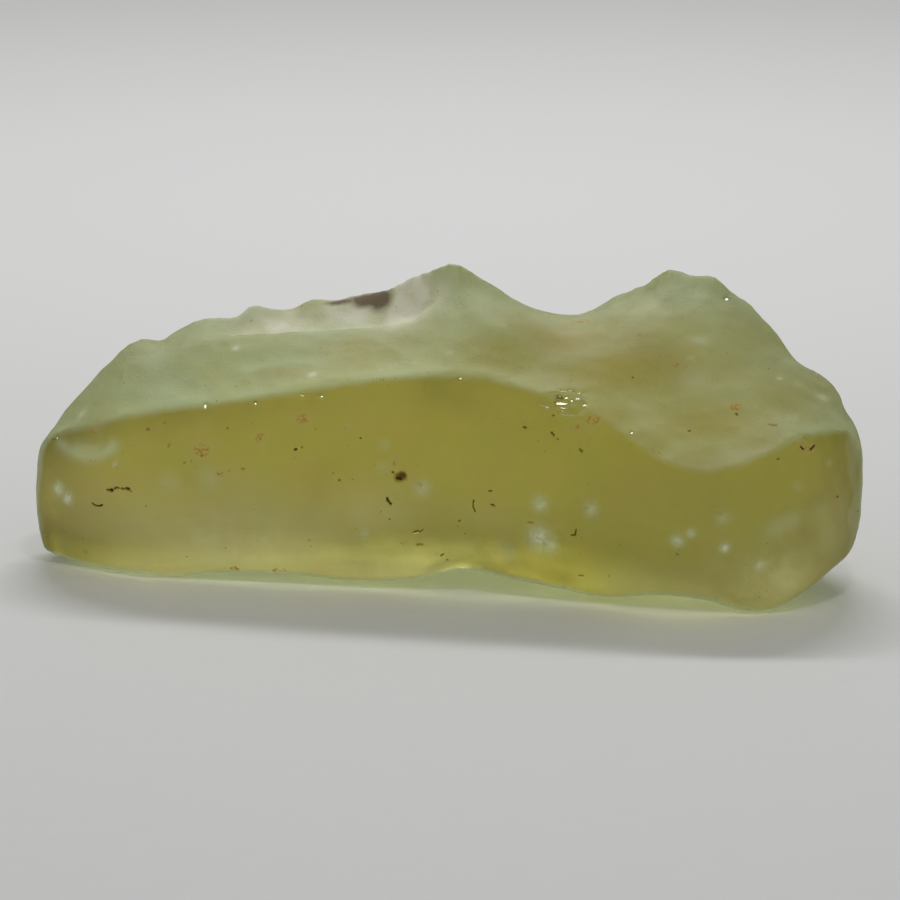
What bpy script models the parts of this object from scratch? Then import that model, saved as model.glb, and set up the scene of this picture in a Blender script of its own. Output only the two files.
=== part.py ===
"""Libyan desert glass: one wind-worn lump of natural glass, lying on its underside.

The lump is lofted between two blunt ends. Nine worn edges run from the left end to the right end, and
every cross-section is a closed curve through them. Hollows scooped by wind-blown sand and one fresh chip
are then pressed into that surface. +X runs along the lump, -Y is its tall front face, +Z is up, and the
origin is the centre of its footprint on the surface it rests on.
"""

import math

import bmesh
import bpy
from mathutils import Vector

MM = 0.001

# Driving dimensions. The worn edges below are drawn for this length, in millimetres.
LENGTH = 70.7
DRAWN_LENGTH = 70.7

RINGS = 107  # cross-sections between the two ends
SAMPLES_PER_SPAN = 2  # points between two neighbouring points of a cross-section
END_ROUNDING = 0.55  # 0 spaces the cross-sections evenly, 1 crowds them at the blunt ends
LATERAL_SHARE = 0.35  # how much of an edge's sideways run counts in its own spacing

GLASS_COLOUR = (0.62, 0.66, 0.24, 1.0)
GLASS_ROUGHNESS = 0.42
GLASS_IOR = 1.462

LEFT_END = (-35.9, 6.0, 6.4)
RIGHT_END = (35.0, -3.1, 9.2)

# The worn edges, each from the left end to the right end, as (x, y, z).
FRONT_FOOT = [
    (-35.6, 4.7, 3.0), (-35.2, 4.2, 1.3), (-33.7, 3.5, 0.6), (-31.0, 1.5, 0.4), (-27.2, -0.5, 0.4),
    (-23.1, -1.5, 0.4), (-19.6, -2.0, 0.8), (-13.6, -3.0, 1.0), (-8.9, -3.8, 0.7), (-4.2, -4.5, 0.9),
    (-1.5, -5.0, 1.4), (1.5, -5.5, 2.1), (4.6, -6.5, 1.8), (9.3, -8.0, 1.2), (12.6, -9.0, 0.6),
    (16.7, -10.0, 1.0), (21.3, -11.0, 1.0), (26.7, -11.5, 0.3), (29.2, -10.8, 1.5), (31.9, -9.0, 3.0),
    (34.1, -6.2, 4.5), (34.7, -4.8, 5.8),
]
RIDGE = [
    (-35.5, 4.4, 9.2), (-35.0, 3.6, 10.5), (-34.1, 3.0, 11.7), (-32.0, 1.5, 12.6), (-29.8, 0.5, 13.5),
    (-25.5, -0.5, 14.6), (-21.2, -1.0, 15.3), (-16.9, -1.5, 15.9), (-12.7, -2.0, 16.8),
    (-10.1, -2.0, 17.5), (-5.9, -2.5, 17.9), (-0.8, -3.0, 18.5), (3.4, -4.0, 18.4), (7.1, -5.5, 17.6),
    (9.6, -6.5, 17.3), (12.1, -8.0, 16.7), (14.1, -9.5, 15.9), (16.2, -11.0, 14.5), (18.6, -12.3, 13.4),
    (21.5, -12.8, 13.0), (24.4, -12.5, 13.5), (26.9, -11.5, 14.3), (29.1, -10.0, 15.0),
    (31.7, -8.0, 14.8), (33.5, -5.9, 14.1), (34.1, -5.2, 13.2), (34.7, -4.5, 11.9),
]
SHOULDER = [
    (-35.5, 5.0, 9.7), (-34.9, 4.3, 11.0), (-32.9, 3.4, 12.7), (-30.0, 3.2, 15.4), (-27.4, 3.5, 17.0),
    (-24.4, 4.0, 18.2), (-21.4, 4.5, 19.2), (-18.6, 5.0, 19.8), (-14.6, 5.0, 20.2), (-10.3, 5.0, 20.3),
    (-5.1, 5.0, 20.7), (-2.1, 4.5, 21.5), (0.7, 3.5, 22.3), (4.2, 1.0, 21.8), (8.0, -0.5, 20.4),
    (11.8, -1.5, 20.0), (16.0, -3.0, 19.7), (20.2, -4.0, 19.1), (24.3, -4.5, 18.8), (28.5, -4.8, 17.6),
    (31.5, -4.5, 16.2), (33.3, -4.1, 14.8), (34.1, -4.1, 13.8), (34.7, -3.8, 12.3),
]
TROUGH = [
    (-35.5, 5.5, 9.9), (-34.8, 5.0, 11.1), (-33.4, 4.6, 12.7), (-30.8, 5.0, 15.5), (-27.9, 5.5, 18.3),
    (-24.5, 6.3, 18.6), (-21.5, 6.6, 19.7), (-18.4, 7.2, 19.4), (-14.7, 8.0, 19.3), (-10.4, 8.3, 19.5),
    (-5.2, 8.4, 20.3), (-2.2, 7.5, 22.4), (0.7, 5.5, 23.9), (4.3, 4.5, 22.6), (8.1, 4.3, 21.2),
    (12.0, 4.3, 21.0), (16.2, 3.0, 22.6), (20.3, 1.2, 23.5), (24.1, 0.0, 22.0), (27.9, -1.0, 19.7),
    (31.2, -2.2, 17.3), (33.1, -3.0, 15.7), (34.1, -3.3, 14.0), (34.7, -3.2, 12.4),
]
CREST = [
    (-35.5, 6.1, 9.7), (-34.8, 5.7, 10.7), (-33.6, 5.5, 12.6), (-31.5, 6.0, 14.9), (-29.5, 6.5, 17.3),
    (-27.4, 7.0, 18.9), (-26.2, 7.4, 19.1), (-24.8, 8.0, 18.8), (-23.9, 8.5, 19.4), (-22.3, 8.9, 20.1),
    (-19.6, 9.3, 20.6), (-18.7, 9.5, 20.4), (-17.3, 10.5, 21.3), (-15.1, 11.0, 20.8),
    (-13.6, 11.3, 20.9), (-12.3, 11.5, 21.5), (-9.5, 11.5, 21.7), (-7.0, 11.5, 22.3),
    (-5.4, 11.0, 22.7), (-3.4, 9.5, 24.2), (-1.6, 8.4, 24.9), (-0.5, 7.6, 25.6), (0.6, 7.0, 25.8),
    (2.2, 7.0, 24.8), (4.3, 7.0, 23.4), (7.1, 7.5, 21.7), (10.0, 9.0, 20.8), (12.1, 10.5, 20.8),
    (14.0, 10.5, 22.0), (16.7, 8.0, 23.8), (19.1, 5.1, 25.8), (20.9, 4.5, 25.3), (22.7, 4.0, 25.4),
    (23.9, 3.5, 24.2), (25.4, 3.0, 23.4), (27.4, 2.0, 21.4), (29.7, 1.0, 18.6), (31.7, -0.6, 17.6),
    (32.8, -1.8, 16.6), (33.4, -2.3, 15.2), (34.2, -2.6, 13.9), (34.7, -2.6, 12.4),
]
BACK_BROW = [
    (-35.5, 7.1, 8.8), (-34.8, 7.7, 9.8), (-33.4, 8.6, 10.6), (-29.0, 10.6, 13.6), (-24.0, 12.2, 15.2),
    (-17.0, 14.0, 16.6), (-9.0, 15.0, 17.4), (-2.0, 14.0, 19.4), (3.0, 13.8, 19.0), (9.0, 14.8, 16.8),
    (14.0, 14.4, 17.0), (20.0, 11.0, 19.0), (25.0, 8.6, 17.6), (29.0, 6.2, 14.8), (32.4, 2.6, 12.8),
    (34.0, -0.6, 12.0), (34.7, -1.5, 11.0),
]
BACK_BELLY = [
    (-35.6, 8.0, 6.2), (-34.8, 9.3, 6.3), (-33.6, 10.2, 6.6), (-29.0, 13.4, 7.6), (-22.0, 15.6, 8.6),
    (-14.0, 17.2, 8.4), (-5.0, 17.6, 9.4), (3.0, 17.0, 9.6), (10.0, 16.6, 8.2), (17.0, 14.6, 8.8),
    (24.0, 11.4, 9.0), (29.5, 7.6, 8.2), (33.0, 3.0, 8.0), (34.1, 0.7, 8.6), (34.7, -0.8, 8.8),
]
BACK_FOOT = [
    (-35.5, 7.2, 3.8), (-34.8, 8.2, 3.0), (-32.6, 9.0, 2.2), (-27.0, 11.6, 1.6), (-19.0, 13.4, 1.8),
    (-10.0, 14.2, 1.2), (-1.0, 14.4, 2.2), (8.0, 13.8, 1.4), (16.0, 11.8, 1.6), (23.0, 8.6, 1.0),
    (29.0, 4.4, 1.8), (32.8, 0.2, 3.4), (34.0, -0.4, 5.6), (34.7, -1.5, 6.8),
]
KEEL = [
    (-35.5, 5.9, 3.1), (-34.8, 5.9, 1.8), (-32.0, 5.8, 0.4), (-26.0, 5.6, -0.5), (-16.0, 5.4, -0.6),
    (-6.0, 5.0, -0.4), (2.0, 4.6, -0.1), (10.0, 2.6, -0.4), (18.0, -0.4, -0.6), (26.0, -3.0, -0.5),
    (30.5, -4.0, 0.8), (33.4, -4.2, 3.4), (34.0, -3.2, 4.4), (34.7, -3.2, 6.2),
]

# The cross-section's corners in order, with the points on each side up to the next corner: the share of
# the side at which each stands, and how far the side's middle bows outwards, in mm.
SECTION = [
    (FRONT_FOOT, (0.14, 0.5, 0.86), 1.3),
    (RIDGE, (0.2, 0.6), -0.15),
    (SHOULDER, (0.5,), 0.0),
    (TROUGH, (0.6,), 0.0),
    (CREST, (0.3,), 0.5),
    (BACK_BROW, (0.5,), 0.4),
    (BACK_BELLY, (0.5,), 0.6),
    (BACK_FOOT, (0.25, 0.6), 0.2),
    (KEEL, (0.4, 0.8), 0.2),
]

# Hollows: (centre, half length, half width, depth, direction pressed), in mm. The length is along X.
INTO_TOP = (0.0, 0.45, -0.9)
INTO_FRONT = (0.0, 1.0, -0.3)
INTO_BACK = (0.0, -0.95, -0.3)
INTO_BASE = (0.0, 0.0, 1.0)
HOLLOWS = [
    ((19.5, -7.5, 17.0), 9.5, 8.5, 1.3, INTO_TOP),
    ((9.0, -1.5, 19.6), 6.0, 5.0, 0.5, INTO_TOP),
    ((-3.6, 7.0, 22.6), 2.8, 2.4, 0.5, INTO_TOP),
    ((-30.6, 0.4, 12.0), 4.2, 1.9, 0.5, INTO_FRONT),
    ((9.9, -6.7, 16.7), 2.4, 1.6, 0.7, INTO_FRONT),
    ((-24.5, 12.8, 12.6), 6.0, 4.4, 0.8, INTO_BACK),
    ((-14.0, 15.4, 14.4), 6.6, 4.0, 1.0, INTO_BACK),
    ((-10.0, 17.2, 7.2), 6.4, 4.6, 0.8, INTO_BACK),
    ((0.5, 16.0, 14.6), 6.0, 4.6, 1.0, INTO_BACK),
    ((9.4, 16.6, 10.6), 6.6, 5.4, 1.3, INTO_BACK),
    ((19.0, 12.4, 15.0), 6.0, 4.6, 1.0, INTO_BACK),
    ((23.0, 11.4, 6.6), 6.0, 4.0, 0.8, INTO_BACK),
    ((-25.0, 14.6, 6.0), 5.4, 3.6, 0.6, INTO_BACK),
    ((1.6, -0.6, 0.0), 6.6, 4.4, 1.5, INTO_BASE),
    ((-14.0, 11.6, 1.0), 6.0, 4.0, 1.0, INTO_BASE),
    ((12.0, 9.6, 0.8), 5.6, 3.8, 0.9, INTO_BASE),
    ((19.0, -7.4, 0.6), 5.4, 3.4, 0.7, INTO_BASE),
    ((-24.0, 2.0, 0.0), 5.0, 2.6, 0.6, INTO_BASE),
]
HOLLOW_RIM = 1.2  # 1 gives every hollow a sharp rim, 2 a soft one


def along(points, count):
    """The curve from the left end through points to the right end, as count + 1 points evenly spaced."""
    knots = [Vector(p) for p in (LEFT_END, *points, RIGHT_END)]
    spans = []
    for a, b in zip(knots, knots[1:]):
        sideways = LATERAL_SHARE * math.hypot(b.y - a.y, b.z - a.z)
        spans.append(math.hypot(b.x - a.x, sideways))
    total = sum(spans)
    stations = [0.0]
    for span in spans:
        stations.append(stations[-1] + span / total)
    found = []
    for i in range(count + 1):
        even = i / count
        crowded = (1 - math.cos(math.pi * even)) / 2
        found.append(at_station(knots, stations, even + END_ROUNDING * (crowded - even)))
    return found


def at_station(knots, stations, station):
    """The point at a station of a smooth curve through knots, whose stations rise from 0 to 1."""
    last = len(knots) - 2
    i = next((n for n in range(last) if station <= stations[n + 1]), last)
    width = stations[i + 1] - stations[i]
    share = (station - stations[i]) / width
    slopes = [slope(knots, stations, n) * width for n in (i, i + 1)]
    return hermite(knots[i], knots[i + 1], slopes[0], slopes[1], share)


def slope(knots, stations, n):
    """The curve's slope at knot n, from the spans on its two sides."""
    if n in (0, len(knots) - 1):
        a, b = (0, 1) if n == 0 else (n - 1, n)
        return (knots[b] - knots[a]) / (stations[b] - stations[a])
    before, after = stations[n] - stations[n - 1], stations[n + 1] - stations[n]
    rise_before = (knots[n] - knots[n - 1]) / before
    rise_after = (knots[n + 1] - knots[n]) / after
    return (rise_before * after + rise_after * before) / (before + after)


def hermite(a, b, slope_a, slope_b, t):
    """The point at share t between a and b."""
    return (
        a * (1 + 2 * t) * (1 - t) ** 2
        + slope_a * t * (1 - t) ** 2
        + b * t * t * (3 - 2 * t)
        + slope_b * t * t * (t - 1)
    )


def section_knots(corners):
    """The cross-section's corners with the bowed points of its sides between them."""
    knots = []
    for n, (_, shares, bow) in enumerate(SECTION):
        here, there = corners[n], corners[(n + 1) % len(corners)]
        side = there - here
        outward = Vector((0, -side.z, side.y))
        swell = bow * min(1.0, side.length / 6)
        knots.append(here)
        for share in shares:
            lift = outward.normalized() * swell * 4 * share * (1 - share)
            knots.append(here + side * share + lift)
    return knots


def closed_curve(knots):
    """Points on a smooth closed curve through knots, SAMPLES_PER_SPAN to each span."""
    count = len(knots)
    spans = [max((knots[(n + 1) % count] - knots[n]).length, 0.01) ** 0.5 for n in range(count)]
    found = []
    for n in range(count):
        ends = [knots[(n + k) % count] for k in (-1, 0, 1, 2)]
        widths = [spans[(n + k) % count] for k in (-1, 0, 1)]
        slopes = []
        for k in (0, 1):
            rise_before = (ends[k + 1] - ends[k]) / widths[k]
            rise_after = (ends[k + 2] - ends[k + 1]) / widths[k + 1]
            mixed = rise_before * widths[k + 1] + rise_after * widths[k]
            slopes.append(mixed / (widths[k] + widths[k + 1]) * widths[1])
        for step in range(SAMPLES_PER_SPAN):
            found.append(hermite(ends[1], ends[2], slopes[0], slopes[1], step / SAMPLES_PER_SPAN))
    return found


def pressed(point):
    """The point after every hollow near it has been pressed in, and the underside worn flat."""
    moved = point.copy()
    for centre, half_length, half_width, depth, direction in HOLLOWS:
        away = point - Vector(centre)
        spread = (away.x / half_length) ** 2 + (away.y ** 2 + away.z ** 2) / half_width ** 2
        if spread < 1:
            moved += Vector(direction).normalized() * depth * (1 - spread) ** HOLLOW_RIM
    moved.z = max(moved.z, 0.0)
    return moved


def lump_mesh():
    """The closed surface of the lump, in metres."""
    edges = [along(line, RINGS + 1) for line, _, _ in SECTION]
    mesh = bmesh.new()
    scale = MM * LENGTH / DRAWN_LENGTH
    rings = []
    for i in range(1, RINGS + 1):
        loop = closed_curve(section_knots([edge[i] for edge in edges]))
        rings.append([mesh.verts.new(pressed(p) * scale) for p in loop])
    for ring, following in zip(rings, rings[1:]):
        for n in range(len(ring)):
            m = (n + 1) % len(ring)
            mesh.faces.new((ring[n], ring[m], following[m], following[n]))
    for end, ring in ((LEFT_END, rings[0]), (RIGHT_END, rings[-1])):
        tip = mesh.verts.new(Vector(end) * scale)
        for n in range(len(ring)):
            mesh.faces.new((tip, ring[n], ring[(n + 1) % len(ring)]))
    bmesh.ops.recalc_face_normals(mesh, faces=mesh.faces)
    return mesh


def centre_footprint(mesh):
    """Moves the lump so that the origin is the centre of its footprint."""
    for axis in (0, 1):
        values = [v.co[axis] for v in mesh.verts]
        middle = (min(values) + max(values)) / 2
        for v in mesh.verts:
            v.co[axis] -= middle


def glass_material():
    material = bpy.data.materials.new("desert_glass")
    material.use_nodes = True
    shader = material.node_tree.nodes["Principled BSDF"]
    shader.inputs["Base Color"].default_value = GLASS_COLOUR
    shader.inputs["Roughness"].default_value = GLASS_ROUGHNESS
    shader.inputs["Metallic"].default_value = 0.0
    shader.inputs["IOR"].default_value = GLASS_IOR
    shader.inputs["Transmission Weight"].default_value = 1.0
    return material


def desert_glass():
    surface = lump_mesh()
    centre_footprint(surface)
    data = bpy.data.meshes.new("desert_glass")
    surface.to_mesh(data)
    surface.free()
    data.shade_smooth()
    data.materials.append(glass_material())
    lump = bpy.data.objects.new("desert_glass", data)
    bpy.context.scene.collection.objects.link(lump)
    return lump


def main():
    for leftover in list(bpy.data.objects):
        bpy.data.objects.remove(leftover)
    desert_glass()


main()
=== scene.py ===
"""Libyan desert glass: the finished lump, its white inclusions and the table it is shown on.

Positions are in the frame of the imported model, in millimetres unless a comment says otherwise.
"""

import math
import random

import bmesh
import bpy
import numpy as np
from bpy.props import FloatProperty, FloatVectorProperty, IntProperty, PointerProperty
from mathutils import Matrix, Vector, noise
from mathutils.bvhtree import BVHTree


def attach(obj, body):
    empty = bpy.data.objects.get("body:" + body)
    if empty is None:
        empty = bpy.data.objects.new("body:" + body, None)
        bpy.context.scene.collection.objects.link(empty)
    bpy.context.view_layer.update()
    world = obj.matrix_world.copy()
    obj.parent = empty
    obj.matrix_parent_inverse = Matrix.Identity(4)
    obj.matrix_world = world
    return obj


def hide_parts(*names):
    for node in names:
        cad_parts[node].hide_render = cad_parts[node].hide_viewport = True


bl_info = {
    "name": "Libyan Desert Glass",
    "version": (1, 0, 0),
    "blender": (4, 5, 0),
    "location": "3D View > Sidebar > Desert Glass",
    "description": "Builds a wind-worn lump of natural desert glass and the table it lies on",
    "category": "Add Mesh",
}

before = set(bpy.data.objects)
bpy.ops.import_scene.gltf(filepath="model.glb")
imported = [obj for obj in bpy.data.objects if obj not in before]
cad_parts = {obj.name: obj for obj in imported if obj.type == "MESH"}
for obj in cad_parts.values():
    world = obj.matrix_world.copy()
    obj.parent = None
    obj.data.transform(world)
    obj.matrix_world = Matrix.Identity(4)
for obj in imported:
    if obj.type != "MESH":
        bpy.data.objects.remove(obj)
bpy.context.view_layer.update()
NODE = "desert_glass"
BODY = "root"
MM = 0.001
FAR = 1.0  # m, well outside the lump
TINY = 1e-18  # m2, smaller than any piece of a path squared

# Sides from which a mark is looked for on the lump, and the two coordinates that place it.
FRONT = "front"  # (x, z) on the tall front face
BACK = "back"  # (x, z) on the rounded back
TOP = "top"  # (x, y) on the upper faces
LEFT = "left"  # (y, z) on the left end
RIGHT = "right"  # (y, z) on the right end
INWARD = {
    FRONT: Vector((0.0, 1.0, 0.0)),
    BACK: Vector((0.0, -1.0, 0.0)),
    TOP: Vector((0.0, 0.0, -1.0)),
    LEFT: Vector((1.0, 0.0, 0.0)),
    RIGHT: Vector((-1.0, 0.0, 0.0)),
}

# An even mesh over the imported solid, worn smooth, and finer where small shapes come.
WELD = 1e-6  # m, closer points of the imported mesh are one
SMOOTH_IN = 0.55  # share of the way to the middle of its neighbours that a point moves
SMOOTH_OUT = -0.50  # and then back
REFINE_LEVELS = 3
PIT_MARGIN = 0.42  # mm round a pit, less at each finer level
SCOOP_MARGIN = 0.12  # mm round a scoop
FACET_MARGIN = 0.1  # mm round a facet

# Marks of blown sand, in millimetres.
SWELL_SIZE = 6.5
SMALL_SWELL_SIZE = 3.1
SMALL_SWELL = 0.5  # height, as a share of the large swell's
DIMPLE_SPACING = 1.9
DIMPLE_REACH = 0.62  # as a share of the spacing
DIMPLE_FACING = (-0.5, 1.0 / 3.0)  # how far the skin looks up or back, from no dimples to full ones
TOOTH_SIZE = 0.55  # the finest grain

# Pits.
BITE_SIZE = 0.16  # mm, size of the bites in a pit's edge
BITE_DEPTH = 0.45  # as a share of the half width
SMALL_PIT = 0.12  # mm, half width past which the bites are shallower
CLAY_AT_RIM = 0.40  # how much clay shows at a pit's edge
CLAY_RISE = 1.1  # how fast the clay thickens inwards
FADING = 0.55  # how much less clay shows where a pit is rusty
RANDOM_PIT_RUN = (0.05, 0.7)  # mm
RANDOM_PIT_WIDTH = (0.07, 0.16)  # mm

# Scoops, the ripples of the chip, and facets.
POLISH_FALL = 8.0  # how sharply a glossy scoop ends
RIPPLES = 3.0  # rings across the first scoop
RIPPLE_REACH = 2.5  # as a share of that scoop
RIPPLE_HEIGHT = 0.014  # mm
WAVER_SIZE = 1.1  # mm
WAVER = 0.25  # how much the rings waver
FACET_DEPTH = 0.03  # mm, to which a share of the facet's smaller half is added
FACET_SINK = 0.35
FACET_LIFT = 0.02  # mm that a facet may stand above the skin
FACET_FALL = 3.0  # how sharply a facet ends
FACET_TURN = 0.4  # least cosine of the angle between a facet and the skin

# Where the skin changes.
RIDGE_BEHIND = 0.75  # weights of a point's place behind and above the ridge
RIDGE_ABOVE = 0.65
RIDGE_BLUR = 0.5  # mm
END_FACING = (0.80, 0.98)  # how straight the skin looks left or right, from not an end to fully one
BASE_FACING = (0.40, 0.80)  # the same, downwards
BACK_FACING = (0.1875, 0.8125)  # the same, backwards
BACK_CLEARING = 0.8  # share of the milkiness that the back lacks

# White inclusions: a solid middle with smaller spherules round it, under a milky patch of the skin.
CORE = 0.18  # radius of the solid middle, as a share of the inclusion's size
SATELLITES = 3
SATELLITE_SIZE = (0.3, 0.7)  # as a share of the middle
SATELLITE_SPREAD = 0.45  # as a share of the inclusion's size
LUMPINESS = 0.30  # how uneven a spherule is, as a share of its radius
LUMP_PITCH = 0.9  # how close its bumps are
SPHERULE_LEVELS = 3  # how finely a spherule is meshed
MILKINESS = 0.70  # strength of the patch, less the deeper the inclusion lies
MILK_DEPTH = 0.5  # mm
MILK_WIDTH = 0.75  # half width of the patch, as a share of the inclusion's size
RANDOM_SPOT_SIZE = (0.35, 1.1)  # mm
RANDOM_SPOT_DEPTH = (0.7, 1.6)  # mm

# The table, the light and the camera, in metres unless a comment says otherwise.
TABLE_HALF_WIDTH = 1.6
SQUARES = 8  # along each side of the table
FLOOR_SHADE = 0.985  # how much darker the table's faint grain is
SOFTBOX_PLACE = (0.0, 0.22, 0.27)
SOFTBOX_SIZE = (0.22, 0.03)
SPARKLE_PLACE = (0.05, -0.17, 0.38)
SPARKLE_SIZE = (0.05, 0.025)
LOOK_AT = (0.45, -2.1, 11.07)  # mm
SENSOR = 36.0  # mm
LENS = 197.24  # mm
CLIP_START = 0.01

# The ridge where the tall front face meets the frosted upper faces: (x, y, z).
RIDGE = [
    (-35.0, 2.2, 9.2), (-33.6, 0.9, 11.4), (-31.5, -0.5, 12.4), (-29.3, -1.6, 13.2), (-25.0, -2.6, 14.4),
    (-20.7, -3.1, 15.2), (-12.2, -4.1, 16.7), (-5.4, -4.5, 17.8), (-0.3, -5.1, 18.3), (3.9, -6.0, 18.2),
    (7.6, -7.5, 17.5), (10.1, -8.4, 17.1), (12.6, -10.0, 16.4), (14.6, -11.5, 15.5), (16.7, -12.8, 14.2),
    (19.1, -14.1, 13.2), (22.0, -14.8, 12.8), (24.9, -14.5, 13.3), (27.4, -13.5, 14.1),
    (29.6, -12.0, 14.7), (32.2, -10.0, 14.6), (34.0, -8.0, 14.0), (34.6, -7.2, 13.1),
]


def on(side, marks):
    """The marks, each with its side in front."""
    return [(side, *mark) for mark in marks]


# The marks. A patch is (centre, half length, half width, strength), and a stroke is (points, half width,
# strength). Both fade out softly at their edges.

# Clay-filled pits and cracks: (points, half width, depth, rust from 0 dark to 1).
PITS = on(FRONT, [
    ([(-28.78, 7.8), (-28.5, 7.8)], 0.09, 0.12, 0.2), ([(-28.45, 7.8), (-28.35, 7.82)], 0.17, 0.2, 0.0),
    ([(-28.1, 8.0), (-27.9, 8.1), (-27.74, 8.06)], 0.1, 0.12, 0.2),
    ([(-27.5, 8.05), (-27.3, 8.03)], 0.1, 0.12, 0.3), ([(-27.08, 8.08), (-26.88, 8.02)], 0.14, 0.15, 0.1),
    ([(-26.8, 7.9), (-26.66, 7.84)], 0.08, 0.08, 0.6),
    ([(-30.1, 6.42), (-29.9, 6.28), (-29.65, 6.22), (-29.4, 6.28), (-29.22, 6.4)], 0.08, 0.14, 0.0),
    ([(-3.86, 9.92), (-3.58, 10.06)], 0.4, 0.26, 0.15), ([(-4.0, 9.82), (-3.75, 9.8)], 0.16, 0.12, 0.0),
    ([(-4.42, 10.35), (-4.32, 10.32)], 0.1, 0.1, 0.3),
    ([(-4.85, 8.1), (-4.82, 7.9), (-4.56, 7.64)], 0.12, 0.18, 0.05),
    ([(2.45, 8.28), (2.37, 7.98), (2.4, 7.7), (2.56, 7.34)], 0.06, 0.12, 0.0),
    ([(3.7, 9.2), (3.92, 9.24)], 0.08, 0.11, 0.25), ([(3.94, 8.04), (4.14, 7.96)], 0.1, 0.14, 0.1),
    ([(1.2, 6.4), (1.25, 6.42)], 0.1, 0.1, 0.3), ([(1.1, 5.92), (1.12, 5.9)], 0.07, 0.07, 0.4),
    ([(1.7, 5.3), (1.74, 5.3)], 0.07, 0.07, 0.4), ([(7.02, 6.8), (7.36, 6.82)], 0.1, 0.1, 0.6),
    ([(10.98, 6.62), (10.92, 6.12), (10.62, 6.06)], 0.07, 0.12, 0.1),
    ([(6.62, 14.74), (6.78, 14.7)], 0.11, 0.12, 0.2), ([(8.94, 14.46), (9.14, 14.26)], 0.1, 0.12, 0.2),
    ([(9.4, 14.02), (9.46, 13.96)], 0.08, 0.1, 0.5), ([(11.3, 13.36), (11.42, 13.22)], 0.13, 0.13, 0.4),
    ([(-12.66, 12.0), (-12.56, 12.01)], 0.11, 0.12, 0.0),
    ([(-12.1, 12.18), (-12.02, 12.22)], 0.08, 0.08, 0.6),
    ([(-2.62, 5.2), (-2.3, 5.36), (-2.1, 5.24), (-1.84, 5.46)], 0.07, 0.1, 0.2),
    ([(-2.32, 4.1), (-1.9, 4.14)], 0.11, 0.1, 0.6), ([(-0.34, 3.24), (-0.1, 3.4)], 0.07, 0.08, 0.3),
    ([(0.16, 2.92), (0.26, 2.88)], 0.08, 0.08, 0.4), ([(29.58, 14.12), (29.78, 13.9)], 0.09, 0.12, 0.0),
    ([(30.72, 14.0), (30.42, 13.76)], 0.1, 0.14, 0.05), ([(-8.94, 9.5), (-8.84, 9.52)], 0.09, 0.09, 0.3),
    ([(-23.82, 13.7), (-23.76, 13.74)], 0.1, 0.08, 0.6),
    ([(-23.46, 11.74), (-23.36, 11.98)], 0.08, 0.07, 0.8),
    ([(-20.62, 11.12), (-20.56, 11.18)], 0.11, 0.1, 0.6),
    ([(-22.12, 10.5), (-22.04, 10.5)], 0.1, 0.08, 0.7), ([(-17.16, 10.2), (-17.02, 10.18)], 0.1, 0.09, 0.7),
    ([(-19.1, 9.6), (-19.0, 9.66)], 0.1, 0.07, 0.8), ([(-18.42, 13.5), (-18.36, 13.52)], 0.09, 0.07, 0.6),
    ([(-10.95, 13.7), (-10.9, 13.72)], 0.08, 0.07, 0.7), ([(-9.45, 10.1), (-9.38, 10.1)], 0.06, 0.05, 0.6),
    ([(-7.8, 9.6), (-7.76, 9.62)], 0.06, 0.05, 0.6), ([(-5.4, 6.9), (-5.36, 6.94)], 0.06, 0.05, 0.5),
    ([(-25.3, 13.1), (-25.12, 13.16)], 0.12, 0.1, 0.7), ([(-7.12, 13.1), (-7.06, 13.1)], 0.07, 0.07, 0.2),
    ([(-4.7, 6.3), (-4.64, 6.3)], 0.07, 0.07, 0.2), ([(27.56, 13.4), (27.66, 13.42)], 0.08, 0.08, 0.3),
    ([(32.76, 9.5), (32.84, 9.44)], 0.09, 0.08, 0.3), ([(9.06, 15.8), (9.14, 15.82)], 0.07, 0.07, 0.2),
    ([(11.28, 2.5), (11.58, 2.52)], 0.08, 0.08, 0.4), ([(19.26, 5.4), (19.38, 5.36)], 0.12, 0.1, 0.8),
]) + on(TOP, [
    ([(24.36, -8.8), (24.46, -8.9)], 0.1, 0.1, 0.3), ([(20.36, -9.8), (20.46, -9.8)], 0.08, 0.08, 0.3),
    ([(15.76, -5.8), (15.84, -5.8)], 0.07, 0.07, 0.1), ([(27.0, -10.2), (27.6, -10.5)], 0.08, 0.07, 0.7),
])

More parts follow.
